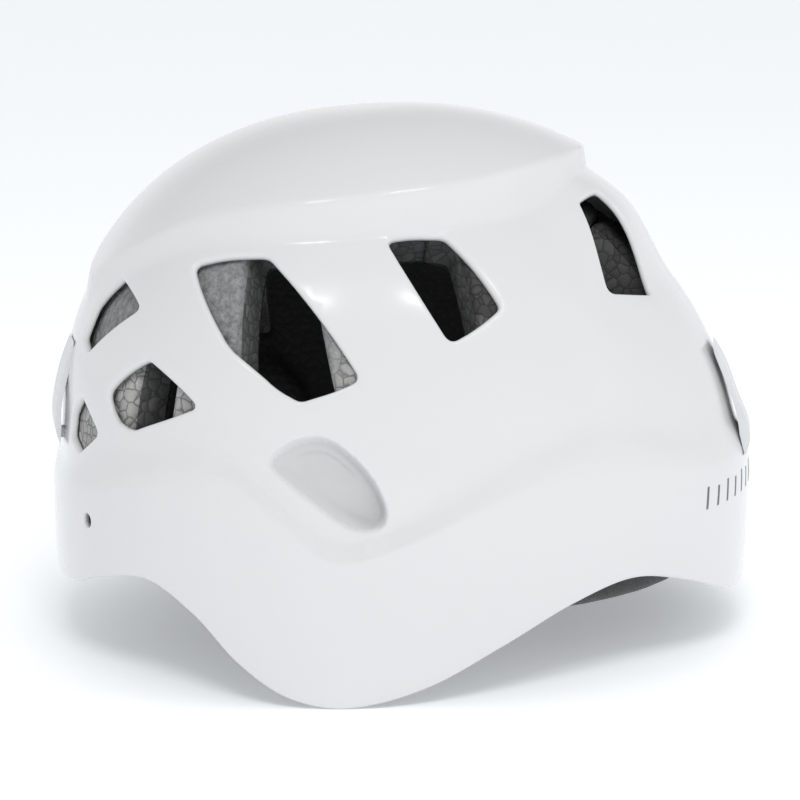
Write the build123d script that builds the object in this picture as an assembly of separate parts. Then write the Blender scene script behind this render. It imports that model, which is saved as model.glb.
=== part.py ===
from build123d import *
import math
import os

# Climbing helmet, millimetres.  Front is -Y, the wearer's right is -X, up is +Z.
# The origin is under the middle of the helmet, on the surface that its side lobes stand on.

# ---- driving dimensions: moulded shell ----
CENTRE_Y = 2.2            # centre that the shell's radii are measured from
CENTRE_Z = 55.0
HALF_WIDTH = 103.0
FRONT_LENGTH = 131.0
REAR_LENGTH = 124.5
CROWN_HEIGHT = 130.0
SKIRT_HEIGHT = 260.0      # vertical semi-axis below the centre, nearly a straight wall
SECTION_POWER = 2.25      # squareness of the horizontal section
FRONT_POWER = 1.92        # fullness of the profile at the front and at the rear
REAR_POWER = 2.5
SHELL_WALL = 2.2
BAND_BULGE = 2.6          # how far the lower band stands out below the crease
CROWN_RISE = 8.0          # height of the raised crown over the ears
CROWN_RISE_POWER = 1.2
CROWN_RAMP = 5.0          # degrees of elevation that the crown's step takes
POCKET_DEPTH = 3.0        # finger recess above each side lobe
POCKET_AZIMUTH = 65.5
POCKET_ELEVATION = 9.5
POCKET_RADIUS = 11.5      # degrees

# elevation in degrees at azimuths from the rear centre, for the crown's edge and the crease
CROWN_EDGE = [(0, 36), (15, 42), (32, 50), (54, 55.5), (84, 60.5), (117, 62), (150, 61), (180, 59)]
CREASE = [(0, 2), (21, 6), (44, 14), (58, 6), (71, -1), (80, 2), (100, 10), (119, 15), (141, 9.5), (180, 6)]

# rim of the shell seen from the side: y from the shell's centre, z
RIM = [(-148.5, 17), (-131.5, 17), (-109.5, 23), (-89.5, 32.5), (-65.5, 38.5), (-41.5, 32.5),
       (-15.5, 19.5), (10.5, 6.5), (37.5, 0), (57.5, 3.5), (73.5, 15), (87.5, 31),
       (102.5, 41), (117.5, 36), (125.5, 28.5), (136.5, 26)]

# vents: corners as azimuth from the rear centre and elevation, both in degrees
VENTS = {
    "rear_upper": [(17, 37.5), (26, 35), (15, 26.5), (11.3, 28.5), (12, 33)],
    "rear_lower": [(15.5, 18.8), (21, 15), (15, 10.7), (11, 13)],
    "rear_side": [(32, 27.8), (43.6, 22.6), (30.5, 17.2), (23.6, 21.5)],
    "side": [(33.5, 44), (50, 47.8), (61, 42), (72, 29.5), (60.5, 25.8), (46, 33)],
    "upper_side": [(76, 54.5), (91, 56), (103.5, 42), (90.5, 36.6)],
    "front": [(144, 56.5), (153, 54), (150, 46), (142.5, 37.5), (131, 40)],
}
VENT_CORNER = 3.5
LINER_WINDOWS = {
    "rear_side": [(31, 28), (38, 28), (38, 16), (31, 16)],
    "side": [(46.5, 49), (64, 49), (65, 25), (47.5, 25)],
    "upper_side": [(77, 56), (94, 56), (94, 36), (77, 36)],
    "front": [(134, 55), (148, 55), (146, 38), (134, 38)],
}

# ---- driving dimensions: foam ----
LINER_GAP = 0.4
LINER_INSET = 20.0
LINER_BOTTOM = 46.0
CROWN_SPLIT = 152.0       # height where the crown block meets the side foam
PART_GAP = 0.4

# ---- driving dimensions: size band ----
BAND_Z = 56.0             # middle height of the rear band when it is stowed
BAND_HEIGHT = 9.4
BAND_THICKNESS = 1.8
BAND_INSET = 23.5
PIVOT_Y = -14.0
PIVOT_Z = 56.0
PIVOT_RADIUS = 3.0
ARM_END_X = 46.0
RACK_Y = 90.0             # middle plane of both racks
RACK_THICKNESS = 1.6
PINION_RADIUS = 4.0       # pitch radius
PINION_TEETH = 10
RACK_HEIGHT = 3.0
HOUSING_HALF_WIDTH = 36.0
KNOB_RADIUS = 12.5
KNOB_LENGTH = 8.0

# ---- driving dimensions: front headband and pads ----
PAD_BOTTOM = 24.0
PAD_TOP = 45.4
PAD_OUTER = 15.0
PAD_INNER = 24.0
HEADBAND_OUTER = 20.4
HEADBAND_INNER = 22.0

# ---- driving dimensions: webbing and buckle ----
WEB_WIDTH = 15.0
WEB_THICKNESS = 1.4
CHIN_Y = -60.0            # plane of the stowed chin strap
CHIN_Z = 37.5
FIT = 0.35                # room between pieces that move apart

# ---- driving dimensions: headlamp clips ----
CLIP_WIDTH = 16.0
CLIP_GAP = 1.7
FRONT_CLIP_AZIMUTH = 160.0
FRONT_CLIP_Z = (72.0, 110.0)
REAR_CLIP_Z = (78.0, 113.0)

BORE_RADIUS = 2.5         # cord hole in the rear band
BORE_AZIMUTH = 20.0
BORE_Z = 56.0

os.makedirs("parts", exist_ok=True)
PAD_START = 112.0         # azimuth of the front pad's end
HEADBAND_TOP = 60.0
HOUSING_HALF_HEIGHT = 14.0
HOUSING_WALL = 2.0
NAPE_PAD_THICKNESS = 7.0
SCREW_X = 29.0
SCREW_Z = 11.3
SCREW_RADIUS = 1.0
PINION_SHAFT = 2.2
KNOB_Y = RACK_Y + RACK_THICKNESS / 2 + FIT + HOUSING_WALL + 1.2
KNOB_GRIPS = 14
RACK_PLATE_X = 41.5
RACK_TEETH = 11
ANCHOR_X = 88.0
STRAP_Y = -21.0
STRAP_END_ROOM = WEB_THICKNESS / 2 + 0.05    # a strap's rounded end stops just short of what holds it
STRAP_START_X = ANCHOR_X - STRAP_END_ROOM
TURN_X = 50.0
SEWN_X = 54.0
STRAP_INSET = 14.0
REAR_ANCHOR_AZIMUTH = 56.0
ADJUSTER_X = (-79.0, -66.0)
BUCKLE_START = -36.0
BUCKLE_SPLIT = -12.0
BUCKLE_END = 8.0
LAP_START = 26.0
LAP_END = 34.0
CLIPS = {
    "headlamp_clip_front_right": (FRONT_CLIP_AZIMUTH, FRONT_CLIP_Z, -1),
    "headlamp_clip_front_left": (FRONT_CLIP_AZIMUTH, FRONT_CLIP_Z, 1),
    "headlamp_clip_rear": (0.0, REAR_CLIP_Z, -1),
}


def smooth(value):
    """Ease from 0 to 1 with no slope at either end."""
    value = min(1.0, max(0.0, value))
    return value * value * (3 - 2 * value)


def follow(curve, azimuth):
    """Elevation of a curve given as azimuth and elevation pairs, eased between its points."""
    for (a0, e0), (a1, e1) in zip(curve, curve[1:]):
        if azimuth <= a1:
            return e0 + (e1 - e0) * smooth((azimuth - a0) / (a1 - a0))
    return curve[-1][1]


def crown_step(azimuth, elevation, forward):
    """How far the raised crown stands above the side surface."""
    rise = CROWN_RISE * max(0.0, 1 + forward) ** CROWN_RISE_POWER
    edge = follow(CROWN_EDGE, azimuth)
    return rise * smooth((elevation - edge + CROWN_RAMP) / CROWN_RAMP)


def pocket_dish(azimuth, elevation):
    """Depth of the finger recess: a disc cut off by a slanting line at its lower rear side."""
    across = (azimuth - POCKET_AZIMUTH) * math.cos(math.radians(elevation))
    up = elevation - POCKET_ELEVATION
    rim_distance = POCKET_RADIUS - math.hypot(across, up)
    line_distance = 0.63 * (across + 9.0) + 0.78 * (up - 5.0)
    return POCKET_DEPTH * smooth(rim_distance / 4) * smooth(line_distance / 4)


def shell_radius(x, y, z):
    """Distance from the shell's centre to its outer face along a direction."""
    length = math.sqrt(x * x + y * y + z * z)
    x, y, z = x / length, y / length, z / length
    reach = FRONT_LENGTH if y < 0 else REAR_LENGTH
    flat = math.hypot(x, y)
    lean = y / max(flat, 1e-9)
    power = (FRONT_POWER + REAR_POWER) / 2 + (REAR_POWER - FRONT_POWER) / 2 * lean
    height = CROWN_HEIGHT
    if z < 0:
        power = 2.2
        height = SKIRT_HEIGHT
    section = ((abs(x) / HALF_WIDTH) ** SECTION_POWER
               + (abs(y) / reach) ** SECTION_POWER) ** (1 / SECTION_POWER)
    radius = (section ** power + (abs(z) / height) ** power) ** (-1 / power)
    azimuth = math.degrees(math.atan2(abs(x), y))
    elevation = math.degrees(math.asin(z))
    radius += crown_step(azimuth, elevation, -y)
    radius += BAND_BULGE * smooth((follow(CREASE, azimuth) + 1.5 - elevation) / 4)
    return radius - pocket_dish(azimuth, elevation)


def direction(azimuth, elevation, side=-1):
    """Unit direction; azimuth is measured from the rear centre, side -1 is the wearer's right."""
    a = math.radians(azimuth)
    e = math.radians(elevation)
    return Vector(side * math.sin(a) * math.cos(e), math.cos(a) * math.cos(e), math.sin(e))


def centre():
    return Vector(0, CENTRE_Y, CENTRE_Z)


def surface_point(azimuth, elevation, inset=0.0, side=-1):
    d = direction(azimuth, elevation, side)
    return centre() + d * (shell_radius(d.X, d.Y, d.Z) - inset)


def point_at_height(azimuth, z, inset=0.0, side=-1):
    """Point of the offset shell surface at a given azimuth and height."""
    low, high = -40.0, 89.0
    for _ in range(40):
        middle = (low + high) / 2
        if surface_point(azimuth, middle, inset, side).Z < z:
            low = middle
        else:
            high = middle
    return surface_point(azimuth, middle, inset, side)


SPREAD_ORIGIN_Z = -14.0   # the surface is laid out around an axis below the helmet
LAYOUT_STEPS = 44
SMOOTHING = (1, 0.5, 0.2)


def laid_out_point(turn, tilt, inset):
    """Where a ray from the low axis meets the offset surface."""
    ray = Vector(math.cos(turn) * math.sin(tilt), math.cos(tilt), math.sin(turn) * math.sin(tilt))
    start = Vector(0, CENTRE_Y, SPREAD_ORIGIN_Z)
    near, far = 20.0, 240.0
    for _ in range(34):
        reach = (near + far) / 2
        out = start + ray * reach - centre()
        if out.length < shell_radius(out.X, out.Y, out.Z) - inset:
            near = reach
        else:
            far = reach
    return start + ray * reach


def offset_face(inset):
    """One smooth face over the whole helmet, inset from the shell's outer surface."""
    rows = []
    for i in range(LAYOUT_STEPS + 1):
        tilt = math.radians(4 + 172 * i / LAYOUT_STEPS)
        rows.append([laid_out_point(math.pi * j / LAYOUT_STEPS, tilt, inset) for j in range(LAYOUT_STEPS + 1)])
    return Face.make_surface_from_array_of_points(rows, tol=0.05, smoothing=SMOOTHING, max_deg=8)


def inside(block, face):
    """The part of a block that lies under an offset face."""
    pieces = split(block, bisect_by=face, keep=Keep.ALL).solids()
    heart = Vector(0, CENTRE_Y, CENTRE_Z + 30)
    return min(pieces, key=lambda piece: (piece.center() - heart).length)


def skin(block, outer_face, inner_face):
    """The part of a block that lies between two offset faces."""
    return inside(block, outer_face) - inside(block, inner_face)


def block(x_range, y_range, z_range):
    """Plain box from its lowest to its highest corner."""
    size = (x_range[1] - x_range[0], y_range[1] - y_range[0], z_range[1] - z_range[0])
    middle = Vector((x_range[0] + x_range[1]) / 2, (y_range[0] + y_range[1]) / 2, (z_range[0] + z_range[1]) / 2)
    return Pos(middle) * Box(*size)


def above_rim():
    """Everything above the shell's rim line, as a block."""
    with BuildPart() as rim_block:
        with BuildSketch(Plane(origin=(-140, CENTRE_Y, 0), x_dir=(0, 1, 0), z_dir=(1, 0, 0))):
            with BuildLine():
                Spline(*RIM)
                Polyline(RIM[-1], (RIM[-1][0], 240), (RIM[0][0], 240), RIM[0])
            make_face()
        extrude(amount=280)
    return rim_block.part.solid()


def opening_cutter(corners, side, corner_radius, near=70.0, far=170.0):
    """Straight prism along the mean direction of an opening, with rounded corners."""
    middle = Vector(0, 0, 0)
    for azimuth, elevation in corners:
        middle += direction(azimuth, elevation, side)
    middle = middle.normalized()
    plane = Plane(origin=centre() + middle * near, z_dir=middle)
    points = []
    for azimuth, elevation in corners:
        points.append(plane.to_local_coords(surface_point(azimuth, elevation, 0, side)))
    outline = make_face(Polyline(*[(p.X, p.Y) for p in points], close=True))
    outline = fillet(outline.vertices(), corner_radius)
    return extrude(plane * outline, amount=far - near, dir=middle)


def cord_hole(side):
    """Cylinder through the shell for the accessory cord in the rear band."""
    spot = point_at_height(BORE_AZIMUTH, BORE_Z, 0, side)
    aim = (spot - Vector(0, CENTRE_Y, BORE_Z)).normalized()
    return Plane(origin=spot, z_dir=aim) * Cylinder(BORE_RADIUS, 12)


def make_outer_shell(outer_face, inner_face):
    shell = skin(above_rim(), outer_face, inner_face)
    for side in (-1, 1):
        for corners in VENTS.values():
            shell -= opening_cutter(corners, side, VENT_CORNER)
        shell -= cord_hole(side)
    for azimuth, z_range, side in CLIPS.values():
        shell -= clip_slot(azimuth, z_range, side)
    return shell


def make_side_liner(side, outer_face, inner_face):
    """Bead foam on one side of the head, with a window behind each large vent."""
    x_range = (-130, -PART_GAP / 2) if side < 0 else (PART_GAP / 2, 130)
    foam = skin(block((-130, 130), (-150, 150), (LINER_BOTTOM, CROWN_SPLIT)), outer_face, inner_face)
    foam = foam & block(x_range, (-150, 150), (0, 200))
    for corners in LINER_WINDOWS.values():
        foam -= opening_cutter(corners, side, 2.0)
    return foam


def make_crown_liner(outer_face, inner_face):
    return skin(block((-130, 130), (-150, 150), (CROWN_SPLIT + PART_GAP, 230)), outer_face, inner_face)


def make_crown_pad(outer_face, inner_face):
    footprint = extrude(Pos(0, CENTRE_Y, CROWN_SPLIT) * RectangleRounded(56, 84, 18), amount=60)
    return skin(block((-130, 130), (-150, 150), (100, 230)), outer_face, inner_face) & footprint


def section_point(azimuth, inset):
    """Plan point of the plain horizontal section at the wearer's right, inset from its outside."""
    a = math.radians(azimuth)
    x, y = -math.sin(a), math.cos(a)
    reach = FRONT_LENGTH if y < 0 else REAR_LENGTH
    section = ((abs(x) / (HALF_WIDTH - inset)) ** SECTION_POWER
               + (abs(y) / (reach - inset)) ** SECTION_POWER) ** (-1 / SECTION_POWER)
    return Vector(x * section, y * section + CENTRE_Y)


def band(outer_inset, inner_inset, start, end, bottom, top):
    """Upright strip that follows the head between two azimuths."""
    steps = max(4, int(abs(end - start) / 12))
    azimuths = [start + (end - start) * i / steps for i in range(steps + 1)]
    outer = [section_point(a, outer_inset) for a in azimuths]
    inner = [section_point(a, inner_inset) for a in reversed(azimuths)]
    outline = Spline(*outer) + Line(outer[-1], inner[0]) + Spline(*inner) + Line(inner[-1], outer[0])
    return extrude(Pos(0, 0, bottom) * make_face(outline), amount=top - bottom, dir=(0, 0, 1))


def other_side(solid):
    return mirror(solid, about=Plane.YZ)


def azimuth_at_x(x, inset):
    """Azimuth near the rear where the inset section reaches a given distance from the middle."""
    low, high = 0.0, 90.0
    for _ in range(40):
        middle = (low + high) / 2
        if -section_point(middle, inset).X < x:
            low = middle
        else:
            high = middle
    return middle


def make_headband_front():
    return band(HEADBAND_OUTER, HEADBAND_INNER, PAD_START + 2, 358 - PAD_START, PAD_BOTTOM + 2.5, HEADBAND_TOP)


def make_forehead_pad():
    """Padded felt that wraps the lower edge of the front headband."""
    wrap = band(PAD_OUTER, PAD_INNER, PAD_START, 360 - PAD_START, PAD_BOTTOM, PAD_TOP)
    groove = band(HEADBAND_OUTER - FIT, HEADBAND_INNER + FIT, PAD_START - 5, 365 - PAD_START,
                  PAD_BOTTOM + 2, PAD_TOP + 5)
    return wrap - groove


def pivot_x():
    """Middle plane of the arm at the temple."""
    return section_point(90, BAND_INSET).X + BAND_THICKNESS / 2 + 0.6


def round_bar(radius, start_x, end_x):
    """Cylinder along X through the temple pivot."""
    middle = Vector((start_x + end_x) / 2, PIVOT_Y, PIVOT_Z)
    return Pos(middle) * Rot(0, 90, 0) * Cylinder(radius, abs(end_x - start_x))


def make_temple_pivot():
    """Button pin of the wearer's right temple: flange on the foam, pin and head."""
    x = pivot_x()
    half = BAND_THICKNESS / 2
    flange = round_bar(PIVOT_RADIUS + 3, x - half - 1.5, x - half - FIT)
    pin = round_bar(PIVOT_RADIUS, x - half - 1, x + half + 1)
    head = round_bar(PIVOT_RADIUS + 2, x + half + FIT, x + half + 1.6)
    return flange + pin + head


def make_headband_arm():
    """Flexible arm on the wearer's right, from the temple eye to the size rack."""
    x = pivot_x()
    half = BAND_THICKNESS / 2
    start = azimuth_at_x(ARM_END_X, BAND_INSET + half)
    strip = band(BAND_INSET, BAND_INSET + BAND_THICKNESS, start, 94,
                 BAND_Z - BAND_HEIGHT / 2, BAND_Z + BAND_HEIGHT / 2)
    eye = round_bar(PIVOT_RADIUS + 3, x - half, x + half)
    neck = block((x - half, x + half), (PIVOT_Y, 2), (PIVOT_Z - 4.5, PIVOT_Z + 4.5))
    return strip + neck + eye - round_bar(PIVOT_RADIUS + 0.06, x - 5, x + 5)


def tooth(root_half, tip_half, height):
    """One straight-sided tooth in the XZ plane, standing on Z = 0."""
    outline = Polyline((-root_half, 0), (root_half, 0), (tip_half, height), (-tip_half, height), close=True)
    return extrude(Plane.XZ * make_face(outline), amount=RACK_THICKNESS / 2, both=True)


def make_rack(upper):
    """Toothed strip of the wearer's right arm (upper) or left arm (lower)."""
    pitch = 2 * math.pi * PINION_RADIUS / PINION_TEETH
    thickness = (RACK_Y - RACK_THICKNESS / 2, RACK_Y + RACK_THICKNESS / 2)
    back = PINION_RADIUS + 0.9
    strip = block((-ARM_END_X + FIT, 4.5), thickness, (BAND_Z + back, BAND_Z + back + RACK_HEIGHT))
    end_plate = block((-ARM_END_X + FIT, -RACK_PLATE_X), thickness, (BAND_Z - BAND_HEIGHT / 2, BAND_Z + back + 1))
    rack = strip + end_plate
    for index in range(RACK_TEETH):
        x = pitch * (1.5 - index)
        rack += Pos(x, RACK_Y, BAND_Z + back) * Rot(180, 0, 0) * tooth(0.8, 0.2, 1.6)
    if upper:
        return rack
    return Pos(0, 0, BAND_Z) * Rot(0, 180, 0) * Pos(0, 0, -BAND_Z) * rack


def make_dial_pinion():
    hub = Cylinder(3.1, RACK_THICKNESS)
    gear = Pos(0, RACK_Y, BAND_Z) * Rot(90, 0, 0) * hub
    for index in range(PINION_TEETH):
        turn = 360 * index / PINION_TEETH
        gear += Pos(0, RACK_Y, BAND_Z) * Rot(0, turn, 0) * Pos(0, 0, 2.9) * tooth(0.75, 0.2, 1.75)
    shaft_length = KNOB_Y - RACK_Y - RACK_THICKNESS / 2 + 3
    shaft = Pos(0, RACK_Y + RACK_THICKNESS / 2 + shaft_length / 2, BAND_Z) * Rot(90, 0, 0)
    gear += shaft * Cylinder(PINION_SHAFT, shaft_length)
    return gear


def make_dial_knob():
    """Ribbed size knob, pressed on the pinion's shaft."""
    knob = Pos(0, KNOB_Y + KNOB_LENGTH / 2, BAND_Z) * Rot(90, 0, 0) * Cylinder(KNOB_RADIUS, KNOB_LENGTH)
    for index in range(KNOB_GRIPS):
        turn = 360 * index / KNOB_GRIPS
        groove = Pos(0, 0, KNOB_RADIUS + 0.6) * Rot(90, 0, 0) * Cylinder(1.4, KNOB_LENGTH + 2)
        knob -= Pos(0, KNOB_Y + KNOB_LENGTH / 2, BAND_Z) * Rot(0, turn, 0) * groove
    knob -= Pos(0, KNOB_Y, BAND_Z) * Rot(90, 0, 0) * Cylinder(PINION_SHAFT, 6.2)
    return knob


def rounded_plate(half_width, half_height, y_range):
    """Upright plate across the nape with round ends."""
    outline = RectangleRounded(2 * half_width, 2 * half_height, min(half_width, half_height) * 0.6)
    plate = extrude(Plane.XZ * outline, amount=y_range[1] - y_range[0], dir=(0, 1, 0))
    return Pos(0, y_range[0], BAND_Z) * plate


def screw_spots():
    return [(x, BAND_Z) for x in (-SCREW_X, SCREW_X)]


def make_nape_cradle():
    """Front half of the size housing, with the channel that both racks run in."""
    channel_front = RACK_Y - RACK_THICKNESS / 2 - FIT
    channel_back = RACK_Y + RACK_THICKNESS / 2 + FIT
    cradle = rounded_plate(HOUSING_HALF_WIDTH, HOUSING_HALF_HEIGHT, (channel_front - HOUSING_WALL, channel_back))
    room = PINION_RADIUS + 0.9 + RACK_HEIGHT + FIT
    cradle -= block((-80, 80), (channel_front, channel_back + 5), (BAND_Z - room, BAND_Z + room))
    return cradle


def make_housing_cover():
    """Rear half of the size housing, with the hole for the pinion's shaft."""
    back = RACK_Y + RACK_THICKNESS / 2 + FIT
    cover = rounded_plate(HOUSING_HALF_WIDTH, HOUSING_HALF_HEIGHT, (back, back + HOUSING_WALL))
    cover -= Pos(0, back, BAND_Z) * Rot(90, 0, 0) * Cylinder(PINION_SHAFT + 0.06, 20)
    for x, z in screw_spots():
        for sign in (-1, 1):
            cover -= Pos(x, back, z + sign * SCREW_Z) * Rot(90, 0, 0) * Cylinder(SCREW_RADIUS, 20)
    return cover


def make_housing_screws():
    """Four small screws that hold the housing's halves together."""
    back = RACK_Y + RACK_THICKNESS / 2 + FIT + HOUSING_WALL
    screws = []
    for x, z in screw_spots():
        for sign in (-1, 1):
            spot = Vector(x, 0, z + sign * SCREW_Z)
            head = Pos(spot.X, back + 0.4, spot.Z) * Rot(90, 0, 0) * Cylinder(SCREW_RADIUS + 0.6, 0.8)
            shank = Pos(spot.X, back - HOUSING_WALL / 2, spot.Z) * Rot(90, 0, 0) * Cylinder(SCREW_RADIUS, HOUSING_WALL)
            screws.append(head + shank)
    return Compound(screws)


def make_nape_pad():
    front = RACK_Y - RACK_THICKNESS / 2 - FIT - HOUSING_WALL
    return rounded_plate(HOUSING_HALF_WIDTH - 2, HOUSING_HALF_HEIGHT - 1, (front - NAPE_PAD_THICKNESS, front))


def web_from_path(points, radius, bottom=CHIN_Z - WEB_WIDTH / 2):
    """Upright webbing along a plan path with rounded corners."""
    line = FilletPolyline(*points, radius=radius) if len(points) > 2 else Line(*points)
    ribbon = offset(line, WEB_THICKNESS / 2, side=Side.BOTH)
    return extrude(Pos(0, 0, bottom) * make_face(ribbon), amount=WEB_WIDTH, dir=(0, 0, 1))


def make_front_strap_right():
    """From the wearer's right front anchor through the side adjuster to the fixed buckle half."""
    return web_from_path([(-STRAP_START_X, STRAP_Y), (-TURN_X, STRAP_Y), (-TURN_X + 5, CHIN_Y),
                          (BUCKLE_START - STRAP_END_ROOM, CHIN_Y)], 9)


def make_front_strap_left():
    """From the wearer's left front anchor through the side adjuster to the doubled strap end."""
    return web_from_path([(STRAP_START_X, STRAP_Y), (TURN_X, STRAP_Y), (TURN_X - 5, CHIN_Y), (LAP_START, CHIN_Y)], 9)


def make_chin_strap_tail():
    """Doubled-over end of the chin strap that leaves the buckle's tongue."""
    y = CHIN_Y - WEB_THICKNESS - FIT
    return web_from_path([(BUCKLE_END + STRAP_END_ROOM, y), (LAP_END, y)], 0)


def make_rear_strap_right():
    """From the rear anchor along the inside of the side lobe to the adjuster."""
    y = STRAP_Y + WEB_THICKNESS + 0.2
    start = (section_point(REAR_ANCHOR_AZIMUTH, STRAP_INSET).X, section_point(REAR_ANCHOR_AZIMUTH, STRAP_INSET).Y)
    middle = (section_point(76, STRAP_INSET).X, section_point(76, STRAP_INSET).Y)
    return web_from_path([start, middle, (-ANCHOR_X + 1, y), (-SEWN_X, y)], 6)


def make_front_anchor():
    """Small hook under the foam that the front strap is looped on."""
    return block((-ANCHOR_X - 7, -ANCHOR_X), (STRAP_Y - 6, STRAP_Y + 1.2), (CHIN_Z - 8, LINER_BOTTOM - 0.2))


def make_rear_anchor():
    hook = band(STRAP_INSET - 7, STRAP_INSET - 1.2, REAR_ANCHOR_AZIMUTH - 5, REAR_ANCHOR_AZIMUTH + 5,
                CHIN_Z - 8, LINER_BOTTOM - 0.2)
    return hook


def make_side_adjuster():
    """Flat slider that gathers the front and rear straps on the wearer's right."""
    low_y = STRAP_Y - WEB_THICKNESS / 2
    high_y = STRAP_Y + WEB_THICKNESS * 1.5 + 0.2
    half = WEB_WIDTH / 2
    body = block(ADJUSTER_X, (low_y - 2.2, high_y + 2.2), (CHIN_Z - half - 2.5, CHIN_Z + half + 2.5))
    return body - block((-90, -40), (low_y - FIT, high_y + FIT), (CHIN_Z - half - FIT, CHIN_Z + half + FIT))


def make_buckle_socket():
    """Fixed half of the side-release buckle, open towards the tongue."""
    body = block((BUCKLE_START, BUCKLE_SPLIT), (CHIN_Y - 3.6, CHIN_Y + 3.6), (CHIN_Z - 10, CHIN_Z + 10))
    pocket = block((BUCKLE_SPLIT - 13, BUCKLE_SPLIT + 1), (CHIN_Y - 2, CHIN_Y + 2), (CHIN_Z - 7.5, CHIN_Z + 7.5))
    body -= pocket
    for sign in (-1, 1):
        window_z = sorted((CHIN_Z + sign * 6.5, CHIN_Z + sign * 11))
        body -= block((BUCKLE_SPLIT - 11, BUCKLE_SPLIT - 5), (CHIN_Y - 2, CHIN_Y + 2), window_z)
    return body


def make_buckle_tongue():
    """Sliding half of the buckle: bar block, guide and two spring prongs."""
    tongue = block((BUCKLE_SPLIT + FIT, BUCKLE_END), (CHIN_Y - 3.2, CHIN_Y + 3.2), (CHIN_Z - 9.5, CHIN_Z + 9.5))
    tongue -= block((BUCKLE_END - 8, BUCKLE_END - 4), (CHIN_Y - 5, CHIN_Y + 5), (CHIN_Z - 8, CHIN_Z + 8))
    tongue += block((BUCKLE_SPLIT - 11.5, BUCKLE_SPLIT + 1), (CHIN_Y - 1.4, CHIN_Y + 1.4), (CHIN_Z - 1.5, CHIN_Z + 1.5))
    for sign in (-1, 1):
        prong_z = sorted((CHIN_Z + sign * 4.2, CHIN_Z + sign * 6.8))
        tongue += block((BUCKLE_SPLIT - 11.5, BUCKLE_SPLIT + 1), (CHIN_Y - 1.4, CHIN_Y + 1.4), prong_z)
    return tongue


def make_strap_keeper():
    """Rubber loop that holds the doubled strap end against the strap."""
    low_y = CHIN_Y - 1.5 * WEB_THICKNESS - FIT
    high_y = CHIN_Y + WEB_THICKNESS / 2
    half = WEB_WIDTH / 2
    x_range = (LAP_START + 1, LAP_START + 5)
    body = block(x_range, (low_y - 1.5, high_y + 1.5), (CHIN_Z - half - 1.8, CHIN_Z + half + 1.8))
    return body - block((0, 60), (low_y - FIT, high_y + FIT), (CHIN_Z - half - FIT, CHIN_Z + half + FIT))


def clip_plane(azimuth, side):
    """Upright plane through the helmet's axis at an azimuth: X points outward, Y points up."""
    outward = direction(azimuth, 0, side)
    return Plane(origin=(0, CENTRE_Y, 0), x_dir=outward, z_dir=outward.cross(Vector(0, 0, 1)))


def wall_distance(azimuth, z):
    spot = point_at_height(azimuth, z)
    return math.hypot(spot.X, spot.Y - CENTRE_Y)


def make_headlamp_clip(azimuth, z_range, side):
    """Spring plate that stands off the shell and hooks back to it at its free top end."""
    low, high = z_range
    foot = wall_distance(azimuth, low)
    top = wall_distance(azimuth, high)
    outer = [(foot + 1.6, low - 3), (foot + CLIP_GAP + 1.6, low + 5),
             (wall_distance(azimuth, low + 16) + CLIP_GAP + 2.2, low + 16),
             (wall_distance(azimuth, high - 10) + CLIP_GAP + 1.6, high - 10), (top + 2.0, high)]
    inner = [(wall_distance(azimuth, high - 3) + 1.3, high - 3.5),
             (wall_distance(azimuth, high - 11) + CLIP_GAP - 0.6, high - 11),
             (wall_distance(azimuth, low + 16) + CLIP_GAP, low + 16),
             (wall_distance(azimuth, low + 5) + 1.5, low + 5)]
    profile = Spline(*outer) + Line(outer[-1], inner[0]) + Spline(*inner) + Line(inner[-1], outer[0])
    plane = clip_plane(azimuth, side)
    clip = extrude(plane * make_face(profile), amount=CLIP_WIDTH / 2, both=True)
    peg = make_face(Polyline((foot + 2.4, low - 1.2), (foot + 2.4, low + 1.6), (foot - 1.6, low + 1.6),
                             (foot - 1.6, low - 1.2), close=True))
    return clip + extrude(plane * peg, amount=4, both=True)


def clip_slot(azimuth, z_range, side):
    """Slot in the shell for a headlamp clip's peg."""
    low = z_range[0]
    foot = wall_distance(azimuth, low)
    outline = make_face(Polyline((foot - 6, low - 2.4), (foot + 6, low - 2.4), (foot + 6, low + 2.8),
                                 (foot - 6, low + 2.8), close=True))
    return extrude(clip_plane(azimuth, side) * outline, amount=5, both=True)


def save(name, solid):
    export_step(solid, f"parts/{name}.step")


def save_pair(name, right_solid):
    """Write a sub-part of the wearer's right side and its mirror image."""
    save(f"{name}_right", right_solid)
    save(f"{name}_left", other_side(right_solid))


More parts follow.
